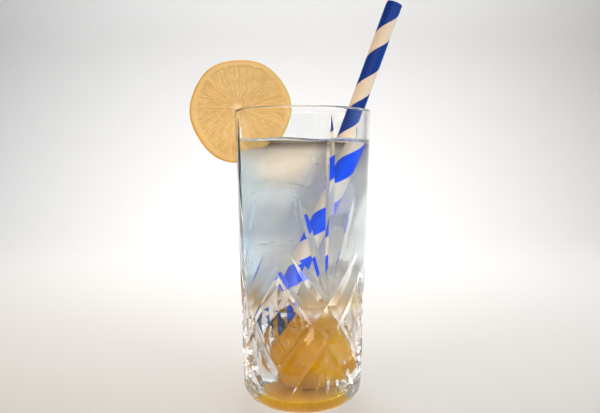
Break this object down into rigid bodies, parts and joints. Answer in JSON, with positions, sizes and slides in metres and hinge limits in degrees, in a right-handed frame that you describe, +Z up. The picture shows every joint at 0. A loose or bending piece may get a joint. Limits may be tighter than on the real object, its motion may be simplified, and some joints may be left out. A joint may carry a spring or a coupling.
{
  "type": "glass of yuzu cocktail",
  "caption": "Tall cut-glass tumbler of pale iced drink over amber yuzu puree, with a striped paper straw and a citrus wheel on the rim.",
  "frame": {"origin": "centre of the flat underside of the glass", "axes": "+Z up along the glass, +X to the right as seen from the front, the front is -Y"},
  "size_m": [0.1055, 0.068, 0.2014],
  "materials": {
    "clear_glass": "clear polished pressed glass with sharp cut facets",
    "drink": "pale, slightly cloudy iced drink",
    "yuzu_puree": "thick wet amber-yellow fruit puree",
    "striped_paper": "matt paper with blue and off-white spiral stripes",
    "citrus": "moist citrus flesh with pale pith and a waxy yellow peel"
  },
  "bodies": {
    "root": {"glass": "clear_glass", "drink": "drink", "yuzu_puree": "yuzu_puree", "straw": "striped_paper", "citrus_slice": "citrus"}
  },
  "joints": []
}
